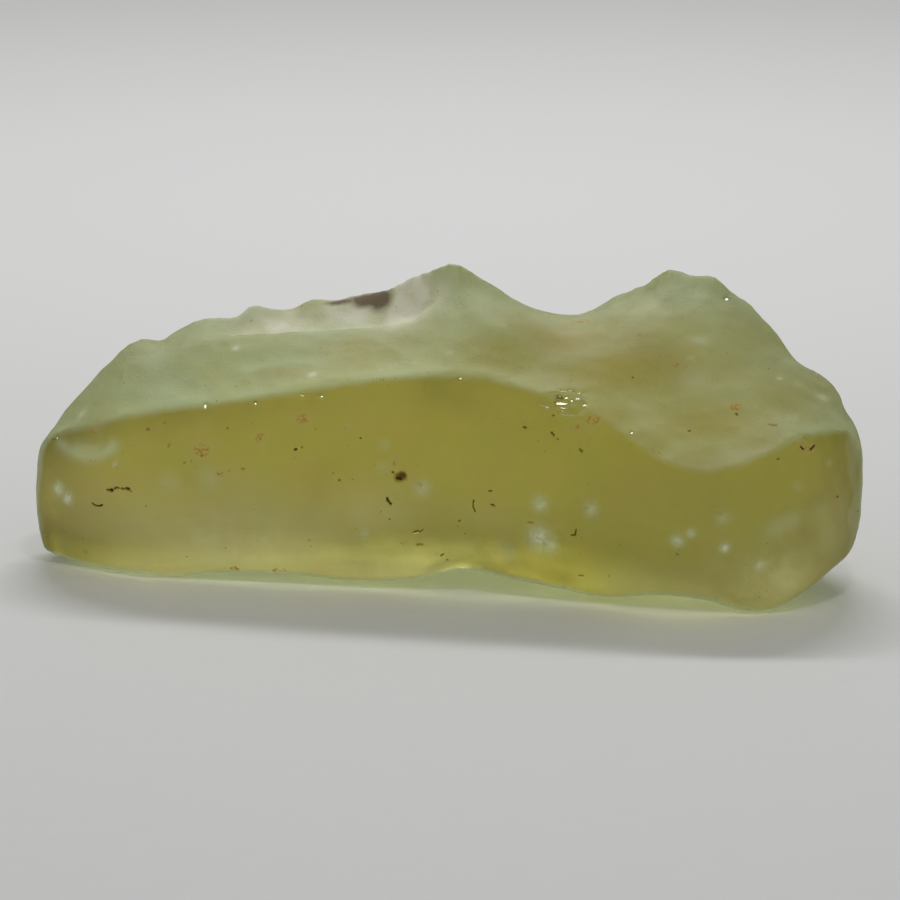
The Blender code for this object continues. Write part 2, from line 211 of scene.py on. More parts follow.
# Rust and clay stains: patches.
STAINS = on(FRONT, [
    ((-31.2, 6.5), 3.4, 4.2, 0.32), ((31.0, 9.5), 3.4, 4.0, 0.2), ((18.0, 10.5), 7.0, 3.0, 0.12),
    ((-30.0, 12.5), 0.7, 0.5, 0.55), ((-29.4, 12.9), 1.6, 0.7, 0.25), ((-30.9, 1.7), 1.5, 0.45, 0.5),
    ((-17.9, 1.2), 0.5, 0.26, 0.95), ((-14.4, 1.25), 0.34, 0.26, 0.95), ((-13.6, 1.3), 0.4, 0.2, 0.95),
    ((-4.3, 11.1), 0.35, 0.55, 0.6), ((-3.9, 11.7), 0.35, 0.3, 0.4), ((12.4, 15.8), 0.85, 0.5, 0.85),
    ((11.0, 15.1), 0.9, 0.4, 0.62), ((-20.6, 11.6), 0.95, 0.75, 0.72), ((-12.0, 14.5), 0.65, 0.55, 0.8),
    ((-15.6, 12.8), 0.5, 0.5, 0.85), ((-19.0, 9.7), 0.42, 0.26, 0.85), ((-18.2, 9.95), 0.55, 0.16, 0.7),
    ((-19.1, 12.2), 0.32, 0.25, 0.5), ((-26.1, 12.1), 0.6, 0.3, 0.42), ((-5.3, 5.2), 0.35, 0.26, 0.46),
    ((-25.2, 13.1), 0.3, 0.24, 0.6), ((-8.3, 13.9), 0.38, 0.27, 0.55), ((30.1, 13.9), 0.95, 0.5, 0.5),
    ((-33.7, 6.2), 0.3, 0.24, 0.5), ((9.3, 4.6), 0.16, 0.14, 0.6), ((19.3, 5.2), 0.3, 0.3, 0.4),
]) + on(TOP, [
    ((10.5, 0.5), 3.8, 2.2, 0.26), ((13.0, 2.8), 4.0, 1.8, 0.28), ((-3.0, 1.6), 4.0, 1.8, 0.2),
    ((11.7, 3.5), 1.0, 0.42, 0.95), ((9.4, 2.2), 0.8, 0.35, 0.3), ((16.6, -2.0), 1.6, 0.6, 0.45),
    ((19.4, -1.6), 1.0, 0.5, 0.25), ((17.0, -4.7), 3.6, 1.8, 0.3), ((24.1, -5.6), 2.8, 1.6, 0.32),
    ((20.9, -8.9), 4.4, 2.2, 0.3), ((13.0, -6.0), 3.2, 1.6, 0.25), ((-18.8, 2.1), 0.5, 0.4, 0.4),
    ((-13.6, -1.4), 1.4, 0.6, 0.35), ((-7.6, 1.2), 1.6, 0.9, 0.25), ((24.3, -8.3), 0.5, 0.45, 0.9),
    ((27.3, -10.4), 0.5, 0.22, 0.5), ((19.5, -4.8), 0.5, 0.4, 0.6),
])

# Milky patches where the skin is powdered or full of fine bubbles. On the thin far rim at the left they are
# also painted light: their pale opaque colour stands in for the light from behind that shines through the
# rim.
HAZES_AND_PAINTED_BACKLIGHT = on(TOP, [
    ((-14.0, 7.2), 5.0, 2.0, 0.85), ((-8.0, 7.6), 4.0, 1.9, 1.0), ((-3.0, 6.5), 2.6, 3.4, 1.6),
    ((-0.9, 4.8), 2.0, 2.6, 0.7), ((-17.4, 5.6), 1.6, 1.2, 0.45), ((21.5, -3.4), 1.0, 0.45, 0.35),
    ((21.0, -5.8), 1.6, 0.9, 0.25), ((10.6, 0.8), 2.0, 0.6, 0.15), ((31.9, -5.9), 0.6, 0.45, 0.4),
    ((-17.9, 1.7), 0.32, 0.32, 0.7), ((-11.2, -2.4), 0.32, 0.28, 0.8), ((-4.6, -2.1), 1.6, 0.2, 0.45),
    ((0.3, -2.5), 0.6, 0.16, 0.35), ((18.0, 1.0), 2.6, 1.6, 0.3),
])

# Patches of the upper faces that the sand has frosted less.
CLEARINGS = on(TOP, [
    ((14.5, -5.0), 9.5, 4.8, 0.95), ((5.5, -3.5), 5.5, 3.2, 0.85), ((9.5, -1.0), 5.5, 3.4, 0.95),
    ((13.5, -9.5), 3.6, 3.2, 0.95), ((17.0, -12.0), 3.6, 3.2, 0.95), ((21.0, -13.0), 4.6, 3.2, 0.95),
    ((25.5, -12.0), 4.0, 3.0, 0.85), ((22.0, -9.5), 6.5, 4.5, 0.9), ((28.0, -8.0), 4.0, 3.6, 0.55),
    ((31.0, -5.0), 3.6, 3.0, 0.3), ((25.0, -3.0), 4.0, 3.0, 0.4), ((-6.0, -0.5), 4.5, 2.4, 0.48),
    ((-14.0, -1.6), 4.0, 1.2, 0.3),
])

# Where more small pits lie at random: (side, range of the first coordinate, range of the second, count).
SEED = 29
SCATTER = [
    (TOP, (-22.0, 20.0), (9.5, 12.0), 8),
    (BACK, (-28.0, 28.0), (3.0, 17.0), 34),
    (LEFT, (0.0, 9.0), (4.0, 13.0), 5),
    (RIGHT, (-9.0, 6.0), (4.0, 14.0), 6),
]

# The brown crust behind the left rim: patches.
CRUST = on(TOP, [
    ((-5.6, 8.5), 1.4, 1.6, 1.0), ((-7.0, 8.8), 1.5, 1.1, 0.9), ((-9.0, 8.9), 1.8, 0.55, 0.8),
])

# Scoops broken or blown out of the surface: (centre, half length along x, half width, depth, polish from
# 0 frosted to 1 glossy, levels of finer mesh). The first two make the fresh chip on the ridge, and the
# third is the crescent at the left end.
SCOOPS = on(FRONT, [
    ((9.3, 17.0), 1.7, 0.85, 0.34, 1.0, 3), ((10.6, 16.5), 1.5, 0.95, 0.24, 1.0, 3),
    ((-30.4, 11.5), 3.0, 1.3, 0.42, 0.0, 1),
]) + on(BACK, [
    ((-18.0, 13.0), 4.2, 2.6, 0.5, 0.0, 0), ((-3.0, 9.0), 3.4, 3.0, 0.55, 0.0, 0),
    ((9.0, 14.0), 3.8, 2.4, 0.45, 0.0, 0), ((20.0, 10.0), 3.0, 3.4, 0.5, 0.0, 0),
    ((15.6, 17.6), 1.1, 0.7, 0.22, 1.0, 2),
])

# Small glossy facets that catch the light, in the chip and in nicks along the ridge: (centre, half
# length, half width).
FACETS = on(FRONT, [
    ((9.85, 16.66), 1.0, 0.28), ((10.1, 16.32), 0.8, 0.12), ((9.8, 17.62), 0.4, 0.15),
    ((10.45, 17.66), 0.55, 0.16), ((11.2, 17.56), 0.5, 0.2), ((11.75, 17.46), 0.3, 0.14),
    ((10.2, 17.1), 0.32, 0.15), ((10.65, 16.9), 0.26, 0.15), ((11.15, 17.12), 0.32, 0.16),
    ((-33.2, 11.5), 0.26, 0.18), ((-33.6, 11.2), 0.2, 0.15), ((-20.3, 15.2), 0.19, 0.38),
    ((-16.0, 15.6), 0.19, 0.21), ((-12.0, 16.5), 0.6, 0.19), ((-10.4, 16.4), 0.42, 0.17),
    ((-5.9, 17.8), 0.24, 0.16), ((-5.3, 17.85), 0.2, 0.14), ((1.3, 18.25), 0.26, 0.16),
    ((15.6, 15.0), 0.2, 0.16), ((17.9, 13.7), 0.26, 0.18), ((29.9, 14.75), 0.22, 0.16),
]) + on(TOP, [
    ((24.0, 0.4), 0.28, 0.22),
])

# Small chalk-white spots and scratches on the skin: strokes.
CHALK = on(TOP, [
    ([(-17.9, 1.7), (-17.8, 1.7)], 0.2, 0.8), ([(-11.3, -2.3), (-11.2, -2.3)], 0.24, 1.0),
    ([(-11.6, -2.1), (-10.9, -2.5)], 0.45, 0.3), ([(-31.1, 0.35), (-30.9, 0.35)], 0.42, 0.35),
    ([(20.7, -4.4), (20.8, -4.4)], 0.15, 0.8), ([(28.1, -5.8), (28.2, -5.8)], 0.17, 0.7),
    ([(26.0, -8.5), (26.1, -8.5)], 0.11, 0.8), ([(-5.5, -3.1), (-4.0, -2.7), (-2.6, -2.6)], 0.07, 0.6),
    ([(-4.6, -2.5), (-3.2, -2.3)], 0.05, 0.5), ([(0.0, -2.6), (0.7, -2.4)], 0.07, 0.5),
    ([(-18.3, 4.9), (-17.2, 5.2), (-15.9, 5.4)], 0.1, 0.6), ([(31.4, -6.1), (32.1, -5.8)], 0.25, 0.2),
    ([(20.9, -3.3), (21.6, -3.4), (22.0, -3.7)], 0.28, 0.22), ([(20.3, -5.9), (21.6, -5.7)], 0.6, 0.1),
    ([(9.8, 0.8), (11.4, 0.9)], 0.35, 0.08),
]) + on(FRONT, [
    ([(-31.4, 10.7), (-29.9, 10.7)], 0.45, 0.14), ([(-23.5, 8.8), (-23.3, 8.7)], 0.7, 0.16),
    ([(-20.2, 9.4), (-19.9, 9.2)], 0.8, 0.18), ([(9.9, 15.95), (10.6, 15.9)], 0.14, 0.35),
    ([(11.3, 16.1), (11.7, 16.3)], 0.13, 0.35), ([(32.0, 12.4), (32.1, 12.4)], 0.22, 0.35),
    ([(29.2, 11.0), (29.4, 10.9)], 0.35, 0.15), ([(27.6, 8.1), (29.2, 8.3)], 0.7, 0.1),
    ([(-5.1, 12.7), (-5.0, 12.6)], 0.4, 0.14), ([(-5.3, 10.8), (-5.2, 10.7)], 0.42, 0.18),
    ([(5.1, 4.4), (5.3, 4.3)], 0.8, 0.12),
]) + on(BACK, [
    ([(-24.0, 9.0), (-23.6, 9.1)], 0.16, 0.9), ([(4.0, 17.0), (5.2, 16.4)], 0.07, 0.7),
    ([(26.0, 8.0), (26.1, 8.0)], 0.2, 0.8), ([(-10.0, 6.0), (-9.9, 6.0)], 0.14, 0.9),
    ([(-1.0, 12.0), (0.4, 11.6)], 0.6, 0.25), ([(14.0, 6.0), (14.8, 6.8)], 0.5, 0.3),
])

# Pale green veils below the ridge, where a scoop's lower lip looks up: strokes.
LIPS = on(FRONT, [
    ([(-32.9, 11.1), (-31.8, 10.5), (-30.6, 10.35), (-29.5, 10.65), (-28.3, 11.4)], 0.55, 0.9),
    ([(-31.6, 10.8), (-29.8, 10.8)], 0.7, 0.8), ([(27.2, 7.5), (28.9, 8.2)], 0.75, 0.35),
    ([(31.0, 8.6), (31.5, 8.8)], 0.75, 0.3),
])

# Films of pale clay low on the lump, and painted light: the opaque pale coat stands in for the lit table
# seen through the thin glass of the lower front: patches.
FILMS_AND_PAINTED_LIGHT = on(FRONT, [
    ((-17.0, 2.8), 13.0, 4.4, 0.78), ((-16.0, 0.6), 16.0, 1.6, 1.0), ((-6.5, 6.5), 4.0, 2.6, 0.38),
    ((-5.0, 1.2), 8.0, 3.0, 0.88), ((17.5, 1.4), 5.0, 2.6, 0.55), ((21.0, 1.2), 8.0, 3.0, 0.58),
    ((28.0, 2.6), 6.0, 3.6, 0.78), ((32.0, 6.0), 2.6, 3.2, 0.42), ((1.0, 3.4), 3.5, 1.8, 0.3),
    ((3.5, 6.6), 4.0, 1.7, 0.12),
])

# Painted shade: darker bands along the foot of the front, where the glass is thin and would let too much
# light through, and a broad darker band higher up on the right: strokes.
PAINTED_SHADE_BANDS = on(FRONT, [
    ([(-7.5, 3.0), (-1.0, 3.4)], 1.5, 0.52), ([(0.2, 3.3), (4.6, 3.2)], 1.5, 0.58),
    ([(5.6, 3.2), (7.4, 2.9), (9.9, 2.4)], 1.5, 0.94), ([(14.0, 10.3), (22.0, 10.3)], 3.6, 0.22),
])

# Mottled patterns of the finish: size in millimetres, detail, roughness, and the range of the noise that is
# spread out from 0 to 1.
PATTERNS = {
    "mottle": (1.60, 4.0, 0.60, 0.35, 0.65),
    "fleck": (0.35, 3.0, 0.60, 0.30, 0.62),
    "speck": (0.26, 1.0, 0.50, 0.44, 0.55),
    "dust": (0.40, 1.0, 0.50, 0.75, 0.79),
    "cloud": (5.50, 3.0, 0.55, 0.36, 0.64),
    "tone": (3.20, 3.0, 0.55, 0.38, 0.62),
    "white cloud": (0.25, 3.0, 0.60, 0.30, 0.70),
}

# White inclusions inside the front face: (x, z, size, depth under the surface).
WHITE_SPOTS = [
    (-33.1, 7.2, 0.7, 0.25), (-32.3, 6.5, 0.7, 0.3), (-28.0, 10.1, 0.25, 0.5), (-1.9, 9.1, 0.75, 1.1),
    (-6.8, 5.0, 0.45, 0.9), (8.0, 8.5, 0.75, 0.4), (12.2, 8.5, 0.7, 0.7), (7.9, 5.6, 1.2, 0.3),
    (8.8, 5.1, 0.85, 0.6), (19.3, 6.6, 0.7, 0.4), (20.4, 7.4, 0.45, 0.4), (23.0, 8.8, 0.7, 1.4),
    (23.2, 6.2, 0.5, 0.25), (26.2, 4.6, 0.6, 0.7),
]


# Settings that a user would change.


def length_setting(name, description, default):
    """A length, in metres."""
    return FloatProperty(
        name=name, description=description, default=default, subtype="DISTANCE", unit="LENGTH"
    )


def share_setting(name, description, default):
    """A number from 0 to 1."""
    return FloatProperty(name=name, description=description, default=default, min=0.0, max=1.0)


def colour_setting(name, description, default):
    """A colour, with each of its parts from 0 to 1."""
    return FloatVectorProperty(
        name=name, description=description, default=default, subtype="COLOR", min=0.0, max=1.0
    )


class LumpSettings(bpy.types.PropertyGroup):
    """How finely the lump is made, and how it is worn."""

    grain: length_setting("Grain", "Edge length of the lump's finished mesh", 0.34 * MM)
    smoothing: IntProperty(
        name="Smoothing",
        description="Passes that wear the solid's facets away",
        default=7,
        min=0,
    )
    swell: length_setting("Swell", "Height of the broad undulations that blown sand leaves", 0.16 * MM)
    dimple: length_setting(
        "Dimple", "Depth of the small sand-blasted dimples on the upper faces and the back", 0.10 * MM
    )
    tooth: length_setting("Tooth", "Height of the finest grain that the mesh holds", 0.012 * MM)


class GlassSettings(bpy.types.PropertyGroup):
    """Colours and finish of the glass, its stains and its inclusions."""

    body_colour: colour_setting(
        "Body colour", "Colour that a thick piece of the glass lets through", (0.93, 0.95, 0.80)
    )
    body_density: FloatProperty(
        name="Body density",
        description="How strongly the glass takes up light, per metre",
        default=120.0,
        min=0.0,
    )
    skin_colour: colour_setting(
        "Skin colour", "Tint of the smoother skin of the tall front face", (0.525, 0.34, 0.036)
    )
    tone_colour: colour_setting(
        "Second skin colour", "Greener clouds in the skin of the front", (0.49, 0.355, 0.029)
    )
    # Painted shade: the dark tint of the bands along the foot of the front and the broad band above them.
    painted_shade_colour: colour_setting("Painted shade colour", "Tint of the skin where it is darkest", (0.13, 0.085, 0.009))
    base_colour: colour_setting("Base colour", "Tint of the cleaner underside", (0.96, 1.0, 0.90))
    chip_colour: colour_setting("Chip colour", "Tint of the fresh glossy chips", (0.42, 0.32, 0.045))
    chip_roughness: share_setting("Chip roughness", "Roughness of the fresh glossy chips", 0.10)
    skin_roughness: share_setting("Skin roughness", "Roughness of the smoother skin", 0.34)
    skin_clarity: share_setting(
        "Skin clarity", "Share of the light that passes through the smoother skin", 0.97
    )
    frost_colour: colour_setting(
        "Frost colour", "Bluish-green veil of the sand-frosted upper faces and back", (0.74, 0.80, 0.54)
    )
    frost_roughness: share_setting("Frost roughness", "Roughness of the sand-frosted skin", 0.58)
    frost_clarity: share_setting(
        "Frost clarity", "Share of the light that passes through the sand-frosted skin", 0.72
    )
    refraction: FloatProperty(
        name="Refraction",
        description="Index of refraction of the glass",
        default=1.46,
        min=1.0,
    )
    sheen_level: share_setting(
        "Surface reflection", "How strongly the skin reflects, where 0.5 is plain glass", 0.18
    )
    cloud_colour: colour_setting("Cloud colour", "Yellower clouds in the veil", (0.75, 0.75, 0.42))
    wash_colour: colour_setting(
        "Wash colour", "Weak clay stain spread through the skin", (0.62, 0.42, 0.12)
    )
    stain_colour: colour_setting("Stain colour", "Specks of rust in the skin", (0.57, 0.32, 0.05))
    # Also painted light: the pale coat stands in for the lit table seen through the thin glass of the lower
    # front.
    film_and_painted_light_colour: colour_setting("Film colour", "Thin film of pale clay low on the front", (1.0, 0.92, 0.45))
    # Also painted light on the thin far rim, standing in for the light from behind that shines through it.
    haze_and_painted_backlight_colour: colour_setting("Haze colour", "Powdered and bubbly patches of the skin", (1.0, 0.95, 0.80))
    clay_colour: colour_setting("Clay colour", "Dark clay packed in the pits", (0.060, 0.028, 0.006))
    crust_colour: colour_setting("Crust colour", "Brown crust behind the left rim", (0.24, 0.175, 0.12))
    white_colour: colour_setting(
        "White colour", "White spherules inside the glass, and chalky marks on it", (0.92, 1.0, 0.74)
    )
    white_cloud_colour: colour_setting(
        "White cloud colour", "Bluer clouds in the white spherules", (0.95, 1.0, 1.0)
    )


class TableSettings(bpy.types.PropertyGroup):
    """The plain table, its light and the camera."""

    floor_colour: colour_setting("Floor colour", "Colour of the plain table", (0.80, 0.79, 0.805))
    room_colour: colour_setting("Room colour", "Colour of the even light from the room", (0.96, 1.0, 0.93))
    room_light: FloatProperty(
        name="Room light",
        description="Strength of the even light from the room",
        default=0.345,
        min=0.0,
    )
    softbox_power: FloatProperty(
        name="Softbox power",
        description="Power of the softbox above and behind the lump",
        default=0.465,
        min=0.0,
        unit="POWER",
    )
    sparkle_power: FloatProperty(
        name="Sparkle power",
        description="Power of the small light above the front that the fresh chips reflect",
        default=0.15,
        min=0.0,
        unit="POWER",
    )
    camera_distance: length_setting(
        "Camera distance", "Distance from the camera to the middle of the lump", 0.42
    )
    camera_elevation: FloatProperty(
        name="Camera elevation",
        description="How far the camera looks down",
        default=math.radians(15.0),
        subtype="ANGLE",
        unit="ROTATION",
    )


class DesertGlassSettings(bpy.types.PropertyGroup):
    """All the settings of the scene, in three groups."""

    lump: PointerProperty(type=LumpSettings)
    glass: PointerProperty(type=GlassSettings)
    table: PointerProperty(type=TableSettings)


# Finding places on the lump.


def surface_of(mesh):
    """A tree of the mesh's faces, for finding points on it."""
    points = [v.co.copy() for v in mesh.vertices]
    faces = [tuple(p.vertices) for p in mesh.polygons]
    return BVHTree.FromPolygons(points, faces)


def placed(tree, side, place):
    """The point of the surface at a place on one side, in metres."""
    first, second = place[0] * MM, place[1] * MM
    start = {
        FRONT: (first, -FAR, second),
        BACK: (first, FAR, second),
        TOP: (first, second, FAR),
        LEFT: (-FAR, first, second),
        RIGHT: (FAR, first, second),
    }[side]
    hit = tree.ray_cast(Vector(start), INWARD[side])[0]
    if hit is None:
        raise RuntimeError(f"no glass at {side} {place}")
    return hit


def distance_to_path(points, path):
    """The distance from each point to a path of one or more straight pieces."""
    nearest = np.linalg.norm(points - path[0], axis=1)
    for start, end in zip(path, path[1:]):
        run = end - start
        along = np.clip((points - start) @ run / max(run @ run, TINY), 0.0, 1.0)
        nearest = np.minimum(nearest, np.linalg.norm(points - start - along[:, None] * run, axis=1))
    return nearest


def stroke(tree, side, places):
    """The points of a stroke on the surface, in metres."""
    return np.array([placed(tree, side, place) for place in places])


def pit_paths(tree):
    """Each pit's path on the surface, with its half width, depth and rust."""
    found = [
        (stroke(tree, side, places), half_width * MM, depth * MM, rust)
        for side, places, half_width, depth, rust in PITS
    ]
    chance = random.Random(SEED)
    for side, (low, high), (bottom, top), count in SCATTER:
        for _ in range(count):
            start = chance.uniform(low, high), chance.uniform(bottom, top)
            turn, run = chance.uniform(0.0, math.pi), chance.uniform(*RANDOM_PIT_RUN) * chance.random()
            end = start[0] + run * math.cos(turn), start[1] + run * math.sin(turn)
            width = chance.uniform(*RANDOM_PIT_WIDTH)
            found.append((stroke(tree, side, [start, end]), width * MM, width * MM, chance.random() ** 2))
    return found


def middles(tree, marks):
    """The middle of each scoop or facet, in metres."""
    return [np.array(placed(tree, side, place)) for side, place, *_ in marks]


def patch(points, tree, side, centre, half_length, half_width, strength):
    """How strongly a soft-edged patch covers each point."""
    away = (points - np.array(placed(tree, side, centre))) / MM
    spread = (away[:, 0] / half_length) ** 2 + (away[:, 1] ** 2 + away[:, 2] ** 2) / half_width ** 2
    return strength * np.exp(-spread)


def covered(points, tree, patches):
    """How strongly the strongest of some patches covers each point."""
    return np.max([patch(points, tree, *item) for item in patches], axis=0)


def brushed(points, tree, strokes):
    """How strongly the strongest of some soft-edged strokes covers each point."""
    cover = np.zeros(len(points))
    for side, places, half_width, strength in strokes:
        far = distance_to_path(points, stroke(tree, side, places)) / (half_width * MM)
        cover = np.maximum(cover, strength * np.exp(-far * far))
    return cover


# Making the lump's surface.


def rows(mesh, what):
    """One row of three numbers for each point."""
    flat = np.empty(len(mesh.vertices) * 3, np.float64)
    mesh.vertices.foreach_get(what, flat)
    return flat.reshape(-1, 3)


def coordinates(mesh):
    """The place of each point."""
    return rows(mesh, "co")


def normals(mesh):
    """The outward direction at each point."""
    return rows(mesh, "normal")


def set_coordinates(mesh, points):
    """Moves each point to its row's place."""
    mesh.vertices.foreach_set("co", points.ravel())
    mesh.update()


def remeshed(source, grain):
    """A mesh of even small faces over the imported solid."""
    seed = source.data.copy()
    welded = bmesh.new()
    welded.from_mesh(seed)
    bmesh.ops.remove_doubles(welded, verts=welded.verts, dist=WELD)
    welded.to_mesh(seed)
    welded.free()
    holder = bpy.data.objects.new("lump_seed", seed)
    bpy.context.scene.collection.objects.link(holder)
    modifier = holder.modifiers.new("Even faces", "REMESH")
    modifier.mode = "VOXEL"
    modifier.voxel_size = grain
    evaluated = holder.evaluated_get(bpy.context.evaluated_depsgraph_get())
    mesh = bpy.data.meshes.new_from_object(evaluated)
    bpy.data.objects.remove(holder)
    bpy.data.meshes.remove(seed)
    return mesh


def smooth(mesh, passes):
    """Moves each point towards the middle of its neighbours, and back a little, so that the size stays."""
    ends = np.empty(len(mesh.edges) * 2, np.int64)
    mesh.edges.foreach_get("vertices", ends)
    ends = ends.reshape(-1, 2)
    points = coordinates(mesh)
    neighbours = np.bincount(ends.ravel(), minlength=len(points))[:, None]
    for _ in range(passes):
        for step in (SMOOTH_IN, SMOOTH_OUT):
            total = np.zeros_like(points)
            for axis in range(3):
                total[:, axis] = np.bincount(ends[:, 0], points[ends[:, 1], axis], len(points))
                total[:, axis] += np.bincount(ends[:, 1], points[ends[:, 0], axis], len(points))
            points = points + step * (total / neighbours - points)
    set_coordinates(mesh, points)


def refine(mesh, paths, scoops, facets):
    """Cuts the faces near each pit and in the scoops smaller, so that they can hold fine shapes."""
    for level in range(REFINE_LEVELS):
        work = bmesh.new()
        work.from_mesh(mesh)
        points = coordinates(mesh)
        near = np.zeros(len(points), bool)
        for path, half_width, _, _ in paths:
            near |= distance_to_path(points, path) < half_width + PIT_MARGIN * MM / (level + 1)
        for centre, (_, _, half_length, half_width, _, _, levels) in zip(scoops, SCOOPS):
            if level < levels:
                near |= ellipse(points, centre, half_length, half_width) < 1.0 + SCOOP_MARGIN / half_width
        for centre, (_, _, half_length, half_width) in zip(facets, FACETS):
            near |= ellipse(points, centre, half_length + FACET_MARGIN, half_width + FACET_MARGIN) < 1.0
        edges = [e for e in work.edges if near[e.verts[0].index] and near[e.verts[1].index]]
        bmesh.ops.subdivide_edges(work, edges=edges, cuts=1, use_grid_fill=True)
        # A point with only two edges would make the faces on its two sides overlap.
        bmesh.ops.dissolve_verts(work, verts=[v for v in work.verts if len(v.link_edges) == 2])
        work.to_mesh(mesh)
        work.free()


def ramp(values, low, high):
    """0 up to low, and 1 from high on."""
    return np.clip((values - low) / (high - low), 0.0, 1.0)


def undulation(point, facing, settings):
    """How far blown sand has left the surface above or below its smooth form at a point."""
    at = point / MM
    swell = noise.noise(at / SWELL_SIZE) + SMALL_SWELL * noise.noise(at / SMALL_SWELL_SIZE)
    dimple = 0.0
    if facing > 0:
        nearest = noise.voronoi(at / DIMPLE_SPACING)[0][0]
        dimple = -max(0.0, 1.0 - (nearest / DIMPLE_REACH) ** 2) * facing
    tooth = noise.noise(at / TOOTH_SIZE)
    return settings.swell * swell + settings.dimple * dimple + settings.tooth * tooth


def weather(mesh, settings):
    """Adds the undulations and dimples, and keeps the resting patches flat."""
    points = coordinates(mesh)
    outward = normals(mesh)
    facing = ramp(np.maximum(outward[:, 1], outward[:, 2]), *DIMPLE_FACING)
    lift = np.array([undulation(Vector(point), share, settings) for point, share in zip(points, facing)])
    points += outward * lift[:, None]
    points[:, 2] = np.maximum(points[:, 2], 0.0)
    set_coordinates(mesh, points)


def ellipse(points, centre, half_length, half_width):
    """How far each point is from a centre, as a share of an oval that lies along x."""
    away = (points - centre) / MM
    return np.sqrt((away[:, 0] / half_length) ** 2 + (away[:, 1] ** 2 + away[:, 2] ** 2) / half_width ** 2)


def carve(mesh, paths, scoops):
    """Presses the pits and scoops into the surface, and stores the clay, rust and polish they leave."""
    points = coordinates(mesh)
    outward = normals(mesh)
    depth = np.zeros(len(points))
    clay = np.zeros(len(points))
    rust = np.zeros(len(points))
    ragged = np.array([noise.noise(Vector(point) / (BITE_SIZE * MM)) for point in points])
    for path, half_width, deepest, rusty in paths:
        wild = BITE_DEPTH * min(1.0, SMALL_PIT * MM / half_width)
        share = 1.0 - distance_to_path(points, path) / half_width + wild * ragged
        fall = np.clip(share, 0.0, 1.0)
        depth = np.maximum(depth, deepest * fall * (2.0 - fall))
        fill = np.clip(CLAY_AT_RIM + CLAY_RISE * share, 0.0, 1.0) * (1.0 - FADING * rusty)
        rust = np.where(fill > clay, rusty, rust)
        clay = np.maximum(clay, fill)
    polish = np.zeros(len(points))
    for centre, (_, _, half_length, half_width, deepest, glossy, _) in zip(scoops, SCOOPS):
        spread = ellipse(points, centre, half_length, half_width)
        depth += MM * deepest * np.clip(1.0 - spread ** 2, 0.0, 1.0)
        polish = np.maximum(polish, glossy * np.clip((1.0 - spread) * POLISH_FALL, 0.0, 1.0))
    wavy = np.array([noise.noise(Vector(point) / (WAVER_SIZE * MM)) for point in points])
    chip = ellipse(points, scoops[0], *SCOOPS[0][2:4]) * (1.0 + WAVER * wavy)
    rings = np.cos(chip * RIPPLES * 2.0 * math.pi) * (chip < RIPPLE_REACH)
    depth += RIPPLE_HEIGHT * MM * polish * rings
    points -= outward * depth[:, None]
    set_coordinates(mesh, points)
    store(mesh, "clay", clay)
    store(mesh, "rust", rust)
    store(mesh, "polish", polish)


def store(mesh, name, values):
    """Keeps a value from 0 to 1 at each point, for the finish."""
    attribute = mesh.attributes.new(name, "FLOAT", "POINT")
    attribute.data.foreach_set("value", np.clip(values, 0.0, 1.0).astype(np.float32))


def cut_facets(mesh, centres, viewer):
    """Cuts the small facets, each turned so that it throws the light at the viewer."""
    points = coordinates(mesh)
    outward = normals(mesh)
    polish = np.empty(len(points), np.float32)
    mesh.attributes["polish"].data.foreach_get("value", polish)
    for centre, (_, _, half_length, half_width) in zip(centres, FACETS):
        to_light = (Vector(SPARKLE_PLACE) - Vector(centre)).normalized()
        facing = np.array((to_light + (viewer - Vector(centre)).normalized()).normalized())
        spread = ellipse(points, centre, half_length, half_width)
        inside = np.clip((1.0 - spread) * FACET_FALL, 0.0, 1.0)
        reach = np.clip(outward @ facing, FACET_TURN, 1.0)
        depth = FACET_DEPTH + FACET_SINK * min(half_length, half_width)
        shift = ((centre - points) @ facing - depth * MM) / reach
        points += outward * (inside * np.minimum(shift, FACET_LIFT * MM))[:, None]
        polish = np.maximum(polish, inside)
    set_coordinates(mesh, points)
    mesh.attributes["polish"].data.foreach_set("value", polish.astype(np.float32))


def viewpoint(table):
    """Where the camera stands."""
    tilt = table.camera_elevation
    return Vector(LOOK_AT) * MM + table.camera_distance * Vector((0.0, -math.cos(tilt), math.sin(tilt)))


def above_ridge(points):
    """How far each point is above and behind the ridge, in millimetres."""
    ridge = np.array(RIDGE)
    away = points / MM
    behind = away[:, 1] - np.interp(away[:, 0], ridge[:, 0], ridge[:, 1])
    above = away[:, 2] - np.interp(away[:, 0], ridge[:, 0], ridge[:, 2])
    return RIDGE_BEHIND * behind + RIDGE_ABOVE * above


